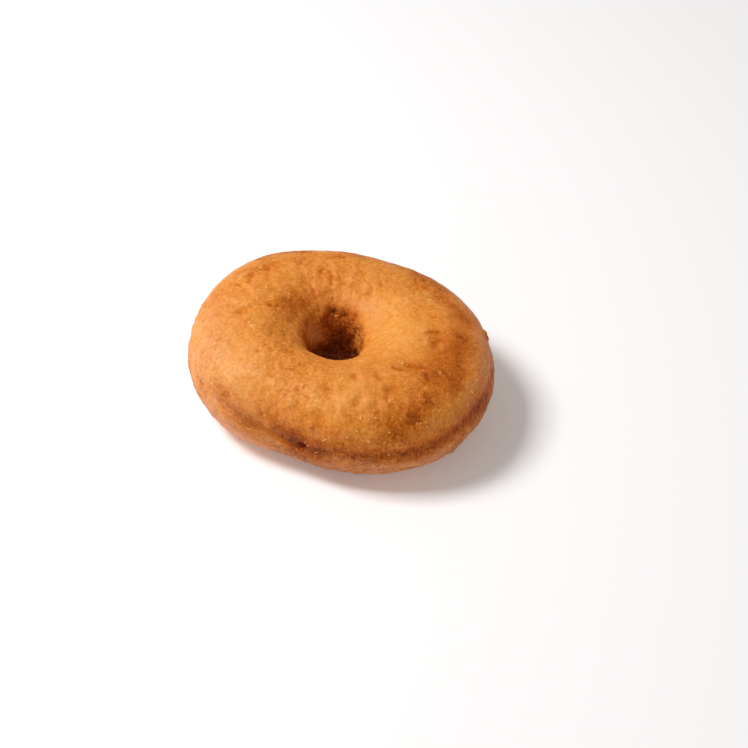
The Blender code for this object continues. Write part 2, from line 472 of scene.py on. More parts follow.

# browner and, below 0, paler places, among them painted shade and painted highlights as noted below: both
# ends as (turn, section), half width in mm, strength
tints = (
    # the belt
    ((-118, 17), (-107, 5), 5.2, 0.23),
    ((-107, -3), (-99, -5), 3.0, 0.08),
    ((-91, 4), (-84, -2), 4.8, 0.31),
    ((-82, -14), (-70, -8), 3.6, 0.2),
    ((-80, -20), (-70, -17), 3.0, 0.12),
    ((-70, -4), (-58, 0), 3.6, 0.12),
    ((-56, -10), (-48, -9), 2.4, 0.1),
    ((-76, 10), (-62, 15), 3.0, 0.08),
    ((-133, 11), (-131, 4), 1.8, 0.14),
    ((-95, 6), (-95, 2), 1.6, -0.16),
    ((-112, 14), (-96, 10), 3.0, -0.03),
    ((-6, 12), (4, 6), 3.0, 0.08),
    # the far rim: browner, partly the crust's own tone and partly painted shade along the far outline
    ((158, 47), (137, 56), 2.2, 0.22),
    ((120, 52), (90, 50), 2.5, 0.12),
    ((90, 50), (62, 48), 2.5, 0.13),
    ((60, 52), (38, 56), 4.0, 0.06),
    ((75, 58), (34, 51), 3.2, 0.14),
    ((172, 58), (110, 60), 2.8, 0.09),
    # the right side, away from the lamp: its browner rows are partly uneven frying and partly painted shade
    ((-40, 30), (-30, 34), 2.6, 0.14),
    ((-44, 42), (-32, 44), 3.0, 0.07),
    ((-46, 18), (-40, 20), 2.4, 0.1),
    ((-52, 18), (-34, 24), 5.0, 0.08),
    ((-34, 48), (-10, 48), 3.6, 0.09),
    ((-20, 62), (8, 74), 5.0, 0.08),
    ((35, 56), (18, 57), 4.0, 0.08),
    ((18, 57), (-8, 58), 4.5, 0.18),
    ((10, 70), (-30, 60), 9.0, 0.05),
    ((14, 76), (14, 76), 2.0, 0.1),
    ((24, 67), (20, 60), 2.0, 0.06),
    ((8, 57), (-7, 44), 1.7, 0.1),
    ((-6, 53), (-10, 44), 2.0, 0.06),
    ((-2, 48), (-14, 44), 3.2, 0.04),
    ((-21, 54), (-20, 50), 2.4, 0.06),
    ((-24, 47), (-26, 42), 2.4, 0.13),
    ((26, 38), (10, 32), 2.6, -0.12),
    ((6, 32), (-8, 32), 2.4, -0.05),
    ((12, 108), (58, 112), 7.0, -0.12),
    # the near side
    ((-66, 30), (-54, 38), 3.6, 0.04),
    ((-74, 22), (-63, 25), 3.0, 0.04),
    ((-86, 93), (-60, 105), 3.0, 0.04),
    ((-112, 102), (-99, 80), 4.5, 0.06),
    ((-52, 74), (-60, 62), 4.0, -0.04),
    ((-46, 112), (-40, 118), 2.0, -0.08),
    # the left side, which the lamp lights most: its paler rows are a painted sheen
    ((-168, 50), (-130, 46), 5.0, 0.05),
    ((-137, 119), (-135, 95), 3.5, 0.08),
    ((-160, 30), (-128, 28), 6.0, -0.06),
    ((-125, 48), (-115, 42), 5.0, -0.08),
    ((-118, 45), (-118, 45), 3.0, -0.05),
    ((-144, 50), (-124, 44), 16.0, -0.06),
    # the funnel and the walls of the hole: the first five rows are painted shade, on the funnel's far-left
    # slope, which faces away from the lamp, and low in the hole
    ((-170, 118), (172, 122), 4.0, 0.12),
    ((178, 124), (165, 125), 6.0, 0.12),
    ((-178, 136), (176, 138), 1.2, 0.16),
    ((138, 124), (134, 132), 2.4, 0.09),
    ((155, -178), (140, -165), 2.2, 0.14),
    ((175, 147), (157, 167), 3.4, -0.5),
    ((125, 147), (104, 147), 2.0, -0.2),
    ((95, 160), (85, 176), 2.0, -0.1),
    ((76, 148), (89, 172), 2.6, -0.34),
    # the dark notches at its far edge, partly crust and partly painted shade where the wall drops away, and
    # a paler line on its near lip, a painted highlight
    ((139, 137), (131, 135), 1.6, 0.22),
    ((137, 134), (116, 138), 1.6, 0.09),
    ((130, 136), (112, 136), 1.4, 0.14),
    ((106, 132), (80, 138), 1.6, 0.1),
    ((-100, 124), (-84, 125), 0.9, -0.14),
    ((-84, 125), (-65, 125), 0.9, -0.14),
    ((-65, 125), (-45, 129), 0.9, -0.14),
    ((-45, 129), (-5, 137), 0.9, -0.14),
)
# more golden places: both ends, half width in mm, strength
goldenSpots = (
    ((74, 113), (41, 104), 6.0, 0.45),
    ((59, 95), (37, 83), 5.0, 0.35),
    ((-118, 54), (-103, 55), 5.0, 0.45),
)
# places where the crust is thin and dull, and in the last five rows painted highlights on folds and round
# the pit: both ends, half width in mm, share of the pale colour
paleSpots = (
    ((26, 38), (10, 32), 2.6, 0.22),
    ((6, 32), (-8, 32), 2.4, 0.12),
    ((175, 150), (160, 164), 2.6, 0.1),
    ((-168, 50), (-130, 46), 5.0, 0.15),
    ((-66, -24), (-50, -20), 2.5, 0.25),
    ((80, 152), (90, 170), 2.4, 0.2),
    # painted highlights: narrow pale streaks on folds and round the pit
    ((-101, -12), (-93, -15), 0.9, 0.6),
    ((-121, 8), (-122, -4), 0.9, 0.5),
    ((-66, -14), (-50, -15), 1.2, 0.35),
    ((-72, 18), (-71, 18), 0.9, 0.4),
    ((-80, -9), (-76, -13), 1.6, 0.3),
)
# how brown the belt is round the ring: turn, spread, strength
beltDark = ((-95, 18, 0.2), (-62, 14, 0.4), (-38, 18, 0.95), (-8, 20, 1.0), (26, 20, 0.5))
belt = {
    "rise": 0.4,  # mm over the seam
    "half width": 3.3,  # mm
    "edge": 2.4,  # 2 is a bell, and more has a steeper edge
    "drop front": 1.5,  # mm
    "drop right": 2.0,
    "wider left": 0.6,
    "wider right": 0.8,
    "far turn": math.radians(-52.0),  # about where the camera stands
    "far": 0.8,  # strength on the side away from it
    "most": 1.2,
}
# how brown, pale or speckled each thing makes the crust
tones = {
    "under": 0.26,
    "under left": 0.2,
    "under front": 0.12,
    # painted shade in hollows, and a painted sheen on mounds
    "hollows": 0.1,
    "belt": 0.31,
    # hole: partly the wall's darker crust, partly painted shade that grows with depth
    "hole": 0.46,
    "hole mouth": 0.6,  # share of it at the top of the hole
    "pale under": 0.75,
    # pale left: a painted sheen on the lit left side
    "pale left": 0.35,
    "pale patches": 0.8,
    "speckle": 0.25,
    "speckle rough": 0.3,
    "speckle belt": 1.2,
    "speckle rim": 2.0,
    "speckle front": 1.6,
}
# how much of each shape counts as a hollow, or below 0 as a mound: hollows get painted shade, browner and
# more golden, and mounds a paler painted sheen
hollowness = {"pit": 2.0, "pits": 0.6, "blisters": -0.4, "creases": 0.2, "mounds": -0.7, "peel": 0.6}
# middle and half width of some bands
bands = {
    "hole rim": (0.76, 0.07),  # by how far the section faces the hole
    "speckled": (0.45, 0.5),  # by the section angle, in radians
    "ruddy rim": (2.0 * mm, 6.0 * mm),  # by the height over the seam
    "golden": (7.0 * mm, 5.0 * mm),
}
# the ruddy rim: redder above the seam on the far right, partly the crust's tone and partly painted shade
ruddyTurn = math.radians(60.0)
ruddyStrength = 1.6


def ringPoint(at, turn, section):
    # the smooth ring: each section is four quarter ovals that meet at its widest lines
    mean = (at["length"] + at["width"]) / 4.0
    share = 1.0 + (at["length"] - at["width"]) / (at["length"] + at["width"]) * cosine(turn * 2.0)
    for waves, phase, part in hoopWaves:
        share = share + cosine(turn * float(waves) - math.radians(phase)) * part
    outer = mean * share - at["flat side"] * turnBell(turn, *sides["flat"])
    stretch = 1.0 + at["hole stretch"] * cosine((turn - holeLongWay) * 2.0)
    shift = at["hole shift x"] * cosine(turn) + at["hole shift y"] * sine(turn)
    throat = at["hole"] / 2.0 * stretch + shift
    outward = above(cosine(section), 0.0)
    upward = above(sine(section), 0.0)
    crest = at["height"] - at["lean"] * cosine(turn)
    middle = throat + choose(upward, at["crest share"], at["foot share"]) * (outer - throat)
    level = choose(outward, at["widest level"], at["throat level"])
    topFullness = choose(outward, at["outer top"], at["inner top"])
    footFullness = choose(outward, at["outer foot"], at["inner foot"])
    fullness = choose(upward, topFullness, footFullness)
    across = absolute(cosine(section))
    rise = absolute(sine(section))
    reach = power(power(across, fullness) + power(rise, fullness), -1.0 / fullness)
    across = across * reach
    rise = rise * reach
    radius = middle + (choose(outward, outer, throat) - middle) * across
    height = level + choose(upward, crest - level, -level) * rise
    height = height - upward * (1.0 - outward) * at["funnel drop"] * across * across * rise
    return radius * cosine(turn), radius * sine(turn), height


def ringPlace(turn, section):
    return Vector(ringPoint(ring, math.radians(turn), math.radians(section)))


def outwardAt(turn, section):
    turn, section = math.radians(turn), math.radians(section)
    level = math.cos(section)
    return Vector((math.cos(turn) * level, math.sin(turn) * level, math.sin(section)))


def seamLevel(at, turn):
    return at["seam level"] + at["seam wave"] * cosine((turn - seamHighTurn) * 2.0)


def addObject(name, data):
    made = bpy.data.objects.new(name, data)
    bpy.context.scene.collection.objects.link(made)
    return made


def makeTree(name, inputs, result=("Geometry", "NodeSocketGeometry")):
    tree = bpy.data.node_groups.new(name, "GeometryNodeTree")
    tree.interface.new_socket(result[0], in_out="OUTPUT", socket_type=result[1])
    for key, kind in inputs.items():
        tree.interface.new_socket(key, in_out="INPUT", socket_type=kind)
    graph = Graph(tree)
    entry = graph.node("NodeGroupInput")
    return graph, {key: graph.out(entry, key) for key in inputs}


def finishTree(graph, geometry, material):
    soft = graph.made("GeometryNodeSetShadeSmooth", {"Geometry": geometry, "Shade Smooth": True})
    whole = graph.made("GeometryNodeRealizeInstances", {"Geometry": soft})
    painted = graph.made("GeometryNodeSetMaterial", {"Geometry": whole, "Material": material})
    graph.node("NodeGroupOutput", None, {"Geometry": painted})


def makeFromTree(name, graph, values):
    # runs the tree on an empty mesh and returns the result as a plain mesh object
    host = addObject(name + "Host", bpy.data.meshes.new(name + "Host"))
    modifier = host.modifiers.new(name, "NODES")
    modifier.node_group = graph.tree
    for item in graph.tree.interface.items_tree:
        if item.in_out == "INPUT":
            modifier[item.identifier] = values[item.name]
    depsgraph = bpy.context.evaluated_depsgraph_get()
    mesh = bpy.data.meshes.new_from_object(host.evaluated_get(depsgraph))
    host.modifiers.clear()
    bpy.data.objects.remove(host)
    mesh.name = name
    return addObject(name, mesh)


def lineTree():
    # 1 on the line along from start, and a bell beside it
    inputs = {name: "NodeSocketVector" for name in ("place", "start", "along", "share")}
    inputs["half width"] = "NodeSocketFloat"
    graph, at = makeTree("nearLine", inputs, ("bell", "NodeSocketFloat"))
    fromStart = graph.vector("SUBTRACT", at["place"], at["start"])
    share = clamped(graph.vector("DOT_PRODUCT", fromStart, at["share"], key="Value"))
    nearest = graph.vector("SCALE", at["along"], scale=share)
    away = graph.vector("DISTANCE", fromStart, nearest, key="Value")
    graph.node("NodeGroupOutput", None, {"bell": bell(away, at["half width"])})
    return graph.tree


nearLine = lineTree()


def near(graph, place, start, end, halfWidth):
    # near the line between two places on the smooth ring
    first = ringPlace(*start)
    along = ringPlace(*end) - first
    share = along / along.length_squared if start != end else along
    inputs = {"place": place, "start": first, "along": along, "share": share, "half width": halfWidth * mm}
    return graph.made("GeometryNodeGroup", inputs, {"node_tree": nearLine})


def nearAny(graph, place, rows, total=0.0):
    # adds each row's strength near its line
    for start, end, halfWidth, strength in rows:
        total = graph.math("MULTIPLY_ADD", near(graph, place, start, end, halfWidth), strength, total)
    return total


def scattered(graph, place, spacing, halfWidth, left):
    # round spots about spacing apart, where left is the share left out
    cells = graph.node("ShaderNodeTexVoronoi", {"feature": "F1"}, {"Vector": place, "Scale": 1.0 / spacing})
    chance = graph.parts(graph.out(cells, "Color"))[0]
    return bell(graph.out(cells, "Distance") * spacing, halfWidth) * above(chance, left)


def circle(graph, steps, radius):
    inputs = {"Resolution": steps, "Radius": radius}
    return graph.made("GeometryNodeCurvePrimitiveCircle", inputs, key="Curve")


def sweptRing(graph, at, position):
    # an even ring, with the turn and the section angle of each point
    middle = 1.0
    turns = circle(graph, at["turn steps"], middle)
    sections = circle(graph, at["section steps"], middle / 2.0)
    curves = {"Curve": turns, "Profile Curve": sections}
    swept = graph.made("GeometryNodeCurveToMesh", curves)
    x, y, z = graph.parts(position)
    outwards = graph.math("SQRT", x * x + y * y) - middle
    turn, section = graph.math("ARCTAN2", y, x), graph.math("ARCTAN2", z, outwards)
    return graph.captured(swept, "FLOAT", turn=turn, section=section)


def ringTree(material):
    inputs = {name: "NodeSocketFloat" for name in ring}
    inputs.update({name: "NodeSocketInt" for name in ringSteps})
    graph, at = makeTree("ringForm", inputs)
    position = graph.made("GeometryNodeInputPosition")
    swept, turn, section = sweptRing(graph, at, position)
    section = section + cosine(section) * crowding
    outward, upward = cosine(section), sine(section)

    # the smooth ring
    smooth = graph.moved(swept, Position=graph.combine(*ringPoint(at, turn, section)))
    smooth, spot = graph.captured(smooth, "VECTOR", place=position)
    height = graph.parts(spot)[2]

    def noise(name, place=spot):
        return graph.spots(place, ringNoises[name])

    def onSide(name):
        return turnBell(turn, *sides[name])

    # the wall of the hole, browner and darker with depth: partly its crust, partly painted shade
    inwardness = -outward + noise("edge") * amounts["edge"]
    wall = step(inwardness, *fades["wall"]) * step(height, *fades["wall foot"])
    # darker deeper in the hole: painted shade
    depth = step(-height, *fades["hole depth"])
    inHole = wall * (tones["hole mouth"] + (1.0 - tones["hole mouth"]) * depth)

    # swells
    relief = 0.0
    for turns, sections, phase, part in swells:
        swell = sine(turn * float(turns) + math.radians(phase)) * cosine(section * float(sections))
        relief = relief + swell * part
    relief = relief * (swellInHole + (1.0 - swellInHole) * ((1.0 + outward) / 2.0))

    # the seam's groove and the lip
    overSeam = height - seamLevel(at, turn) + noise("wobble") * amounts["wobble"] * mm
    groove = bell(overSeam, at["seam half width"])
    lip = bell(overSeam + at["lip drop"], at["lip half width"])
    relief = relief + most(outward, 0.0) * (lip * at["lip proud"] - groove * at["seam depth"])

    # dents and folds, with uneven edges
    shakeSize = ringNoises["shake"][0] * mm
    shake = graph.out(graph.noiseNode(spot, shakeSize, ringNoises["shake"][1]), "Color")
    shake = graph.vector("SUBTRACT", shake, Vector((0.5, 0.5, 0.5)))
    shaken = graph.vector("ADD", spot, graph.vector("SCALE", shake, scale=shakeSize))
    dented = nearAny(graph, shaken, dents)
    markTint = 0.0
    for start, end, halfWidth, deep, brown in marks:
        mark = near(graph, shaken, start, end, halfWidth)
        dented = graph.math("MULTIPLY_ADD", mark, deep, dented)
        markTint = graph.math("MULTIPLY_ADD", mark, brown, markTint)
    relief = relief - dented * mm
    fromPit = graph.vector("DISTANCE", spot, ringPlace(*pit["place"]), key="Value")
    pitted = exponent(-power(fromPit / (pit["radius"] * mm), pit["edge"]))
    relief = relief - pitted * pit["depth"] * mm

    # bumps, ripples that run in towards the hole, orange peel and grain
    bumps = noise("bumps")
    rings = amounts["ripple rings"]
    aroundX, aroundY = cosine(turn) * amounts["ripple waves"], sine(turn) * amounts["ripple waves"]
    around = graph.combine(aroundX, aroundY, outward * rings)
    ripples = graph.noise(around, size=0.5, detail=1.5, warp=0.5, fourth=upward * rings)
    peel, grain = noise("peel"), noise("grain")
    leftSide = onSide("rough left") * step(outward, *fades["rough left"])
    patches = step(noise("rough"), *fades["rough patches"])
    rough = amounts["rough everywhere"] + leftSide * amounts["rough left"]
    rough = rough + amounts["rough patches"] * patches
    lumps = noise("lumps")
    creases = bell(noise("creases", shaken), amounts["crease width"]) * rough
    pits = scattered(graph, spot, **pitSpread)
    blisters = scattered(graph, graph.vector("ADD", spot, blisterShift), **blisterSpread)
    rippled = ripples * at["ripples"] * step(upward, *fades["top"]) * (1.0 - wall) * rough
    fine = bumps * at["bumps"] + rippled - creases * at["creases"]
    fine = fine + rough * (lumps * at["lumps"] + peel * at["peel"] + grain * at["grain"])
    fine = fine + blisters * at["blisters"] - pits * at["pits"]
    crumbs = noise("fine crumbs") + noise("coarse crumbs")
    fine = fine + crumbs * at["hole crust"] * wall * amounts["crumbs"]
    calmed = amounts["calm"] * step(cosine(turn - calmTurn), *fades["calm turn"])
    fine = fine * (1.0 - calmed * step(outward, *fades["calm"]))
    relief = (relief + fine) * clamped(height / at["plain below"])
    offset = graph.vector("SCALE", graph.made("GeometryNodeInputNormal"), scale=relief)
    raised = graph.moved(smooth, Offset=offset)

    # pressed flat below, and set in the middle of its box
    x, y, z = graph.parts(position)
    pressed = graph.moved(raised, Position=graph.combine(x, y, most(z - at["pressed"], 0.0)))
    box = graph.node("GeometryNodeBoundBox", None, {"Geometry": pressed})
    middle = graph.vector("ADD", graph.out(box, "Min"), graph.out(box, "Max"))
    middle = graph.vector("SCALE", middle, scale=-0.5)
    centred = graph.moved(pressed, Offset=graph.vector("MULTIPLY", middle, Vector((1.0, 1.0, 0.0))))

    # the browned belt
    along = 0.0
    for degrees, spread, strength in beltDark:
        along = along + turnBell(turn, degrees, spread) * strength
    far = clamped(-cosine(turn - belt["far turn"]))
    lower = onSide("front") * belt["drop front"] + onSide("right") * belt["drop right"]
    wider = onSide("left front") * belt["wider left"] + onSide("right") * belt["wider right"]
    fromBelt = (overSeam + (lower - belt["rise"]) * mm) / ((wider + belt["half width"]) * mm)
    across = exponent(-power(absolute(fromBelt), belt["edge"]))
    browned = clamped(along + far * belt["far"], 0.0, belt["most"]) * across * step(outward, *fades["belt"])

    # the underside, the paler skin (on the lit left a painted sheen), and hollows against mounds (painted
    # shade in the hollows, a painted sheen on the mounds)
    under = step(-overSeam, *fades["below seam"]) * step(outward, *fades["under"])
    pale = nearAny(graph, shaken, paleSpots, under * tones["pale under"])
    # paler on the left, which the lamp lights most: a painted sheen
    paleLeft = onSide("pale left") * step(outward, *fades["pale left"])
    pale = pale * (1.0 + (bumps + lumps) * tones["pale patches"]) + paleLeft * tones["pale left"]
    mounds = bumps + lumps + peel * hollowness["peel"]
    hollow = dented + pitted * hollowness["pit"] + pits * hollowness["pits"]
    hollow = hollow + blisters * hollowness["blisters"] + creases * hollowness["creases"]
    hollow = hollow + mounds * hollowness["mounds"]

    # what the material reads
    cleaner = tones["under"] - onSide("clean left") * tones["under left"]
    cleaner = cleaner - onSide("clean front") * tones["under front"]
    # hollows add painted shade and mounds a painted sheen; the hole adds painted shade deeper down
    brown = nearAny(graph, shaken, tints) + markTint + under * cleaner + hollow * tones["hollows"]
    brown = brown + browned * tones["belt"] + inHole * tones["hole"]
    rimCrumbs = band(inwardness, *bands["hole rim"]) * tones["speckle rim"]
    front = onSide("speckled") * band(section, *bands["speckled"])
    speckle = tones["speckle"] + rough * tones["speckle rough"] + front * tones["speckle front"]
    speckle = speckle + browned * tones["speckle belt"] + rimCrumbs
    # the ruddy rim, partly painted shade
    rim = band(overSeam, *bands["ruddy rim"]) * clamped(cosine(turn - ruddyTurn) * ruddyStrength)
    # the golden tint: painted shade in hollows, plus the crust's own golden spots and band
    golden = hollow + onSide("golden") * band(overSeam, *bands["golden"])
    seen = {
        "belt": browned,
        "brown": brown,
        "hollow": nearAny(graph, shaken, goldenSpots, golden),
        "inHole": inHole,
        "pale": pale,
        "ruddyRim": rim * step(outward, *fades["ruddy rim"]),
        "speckle": speckle,
    }
    geometry = centred
    for name, value in seen.items():
        geometry = graph.stored(geometry, name, value)
    finishTree(graph, geometry, material)
    return graph


# the crust's material
crust = {
    "browning": 0.44,
    "colours": (
        (0.0, (0.95, 0.57, 0.27)),
        (0.25, (0.88, 0.402, 0.084)),
        (0.45, (0.79, 0.289, 0.045)),
        (0.65, (0.58, 0.162, 0.017)),
        (0.82, (0.36, 0.082, 0.01)),
        (1.0, (0.11, 0.026, 0.003)),
    ),
    "pale colours": (
        (0.0, (0.92, 0.54, 0.3)),
        (0.45, (0.77, 0.355, 0.16)),
        (0.65, (0.55, 0.225, 0.09)),
        (0.82, (0.34, 0.11, 0.03)),
        (1.0, (0.11, 0.028, 0.005)),
    ),
    # the pit's inside: a dark red, painted shade
    "pit colour": (0.3, 0.04, 0.006, 1.0),
    "ruddy": (1.03, 0.955, 0.98, 1.0),
    # ruddy rim: partly painted shade
    "ruddy rim": (1.02, 0.88, 0.94, 1.0),
    # golden: the more saturated colour of hollows, which is painted shade, and of the golden spots
    "golden": (1.0, 0.94, 0.6, 1.0),
    "golden strength": 0.8,
    "speckle": 0.07,
    "speckle colour": (1.0, 0.52, 0.21),
    "darkest": (0.02, 0.005, 0.001),
    "roughness": 0.5,
    "gloss": 0.06,
    "coat": 0.36,
    "coat roughness": 0.5,
    "bump": 0.6,
    "bump height": 0.12,  # mm
}
# each noise, as in ringNoises
crustNoises = {
    "cloud": (9.0, 2.0),
    "mottle": (3.2, 2.0, 0.55),
    "fleck": (1.1, 2.0, 0.6),
    "dust": (0.45, 1.0),
    "streak": (0.36, 2.0, 0.6),
    "uneven": (11.0, 1.0),
    "ruddy": (3.6, 3.0, 0.65),
    "tiny": (0.7, 2.0, 0.6),
}
# how much each changes the browning
varied = {
    "cloud": 0.06,
    "mottle": 0.1,
    "fleck": 0.11,
    "dust": 0.17,
    "streak": 0.18,
    "plainest": 0.6,  # share of mottle, fleck and dust where there is least of them
    "hole": 1.2,  # more of all in the hole
    "pit rim": 0.5,
}
unevenFade, ruddyFade = (-0.3, 0.4), (-0.4, 0.4)
dustShare, fleckShare = 0.5, 0.5  # in the finest bump, and in the grey speckle
sheenLoss = {"brown": 3.5, "pale": 0.7}
sheenPatches = (0.75, 0.5)  # the mean, and the change by the mottle
roughnessBy = {"fleck": 0.08, "mottle": 0.05, "hole": 0.15}
roughnessLimits = (0.2, 0.9)
streakStretch = Vector((1.0, 1.0, 0.25))  # upright


def newMaterial(name):
    material = bpy.data.materials.new(name)
    material.use_nodes = True
    material.node_tree.nodes.clear()
    return material, Graph(material.node_tree)


def finishMaterial(graph, inputs):
    shader = graph.made("ShaderNodeBsdfPrincipled", inputs)
    graph.node("ShaderNodeOutputMaterial", None, {"Surface": shader})


def attribute(graph, name):
    return graph.made("ShaderNodeAttribute", settings={"attribute_name": name}, key="Fac")


def crustColour(graph, brown, pale):
    # by the browning, where pale is the share of the duller skin of the sides, which on the lit left is a
    # painted sheen and in narrow streaks a painted highlight
    brown = clamped(brown)
    tops, sides = (
        graph.made("ShaderNodeValToRGB", {"Fac": brown}, {"stops": crust[name]}, "Color")
        for name in ("colours", "pale colours")
    )
    return graph.blend(pale, tops, sides)


def fromPitCentre(graph, place):
    # metres beside the pit's own axis, or beyond its depth
    fromMouth = graph.vector("SUBTRACT", place, ringPlace(*pit["shade"]) + boxShift)
    beside = graph.vector("CROSS_PRODUCT", fromMouth, outwardAt(*pit["shade"]))
    beyond = graph.vector("LENGTH", fromMouth, key="Value") - pit["depth"] * mm
    return most(graph.vector("LENGTH", beside, key="Value"), beyond)


def crustMaterial():
    material, graph = newMaterial("friedCrust")
    place = graph.made("ShaderNodeTexCoord", key="Object")

    def noise(name, place=place):
        return graph.spots(place, crustNoises[name])

    brown, belted, inHole = (attribute(graph, name) for name in ("brown", "belt", "inHole"))
    pale, hollow = attribute(graph, "pale"), attribute(graph, "hollow")
    cloud, mottle, fleck, dust = (noise(name) for name in ("cloud", "mottle", "fleck", "dust"))
    streak = noise("streak", graph.vector("MULTIPLY", place, streakStretch))

    # how browned it is
    small = mottle * varied["mottle"] + fleck * varied["fleck"] + dust * varied["dust"]
    plainest = varied["plainest"]
    uneven = plainest + 2.0 * (1.0 - plainest) * step(noise("uneven"), *unevenFade)
    vary = cloud * varied["cloud"] + uneven * small * clamped(1.0 - brown)
    fromPit = fromPitCentre(graph, place) + mottle * pit["ragged"] * mm
    pitRim = band(fromPit, *(value * mm for value in pit["rim"]))
    outOfPit = step(fromPit, *(value * mm for value in pit["shade edge"]))
    browned = brown + crust["browning"] + vary * (1.0 + inHole * varied["hole"])
    browned = browned + belted * streak * varied["streak"] - pitRim * fleck * varied["pit rim"]

    # its colour
    colour = crustColour(graph, browned, clamped(pale))
    ruddy = step(noise("ruddy"), *ruddyFade)
    colour = graph.blend(ruddy, colour, crust["ruddy"], "MULTIPLY")
    # redder along the far rim: partly painted shade
    colour = graph.blend(attribute(graph, "ruddyRim"), colour, crust["ruddy rim"], "MULTIPLY")
    # more golden in hollows, which is painted shade, and in the crust's own golden spots
    golden = clamped(hollow * crust["golden strength"])
    colour = graph.blend(golden, colour, crust["golden"], "MULTIPLY")
    # the pit's painted shade
    colour = graph.blend(1.0 - outOfPit, colour, crust["pit colour"])
    speckle = (dust + fleck * fleckShare) * -crust["speckle"] * outOfPit
    speckled = graph.vector("SCALE", Vector(crust["speckle colour"]), scale=speckle)
    colour = graph.vector("ADD", colour, speckled)
    colour = graph.vector("MAXIMUM", colour, Vector(crust["darkest"]))

    # its gloss and its finest relief
    sheen = clamped(1.0 - brown * sheenLoss["brown"] - pale * sheenLoss["pale"])
    sheen = sheen * (sheenPatches[0] + mottle * sheenPatches[1]) * outOfPit
    roughness = crust["roughness"] + fleck * roughnessBy["fleck"] + mottle * roughnessBy["mottle"]
    roughness = clamped(roughness + inHole * roughnessBy["hole"], *roughnessLimits)
    relief = {"Height": dust * dustShare + noise("tiny"), "Strength": crust["bump"]}
    normal = graph.made("ShaderNodeBump", {**relief, "Distance": crust["bump height"] * mm})
    shader = {
        "Base Color": colour,
        "Roughness": roughness,
        "Normal": normal,
        "Specular IOR Level": crust["gloss"],
        "Coat Weight": sheen * crust["coat"],
        "Coat Roughness": crust["coat roughness"],
    }
    finishMaterial(graph, shader)
    return material


doughnut = makeFromTree("ringDoughnut", ringTree(crustMaterial()), {**ring, **ringSteps})
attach(doughnut, "root")
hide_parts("doughnut")
print("ring", len(doughnut.data.polygons), "faces")

# the small pale flakes of crust, partly real crumbs and partly painted glints
flakes = {
    "density": 60000.0,  # on a square metre
    "small": 0.07 * mm,
    "large": 0.24 * mm,
    "seed": 7,
    "height": 0.6,  # share of the width
    # lighter: partly paler crumbs, partly painted glints
    "lighter": 0.32,  # than the crust beneath
    "pale": 0.2,
    "roughness": 0.8,
    "gloss": 0.1,
    "placed height": 0.12,  # mm, half of each single flake's
    "edge on": 0.2,  # where the surface turns away from the camera
}
flakeSeeds = {"width": 3, "length": 5, "spin": 9}
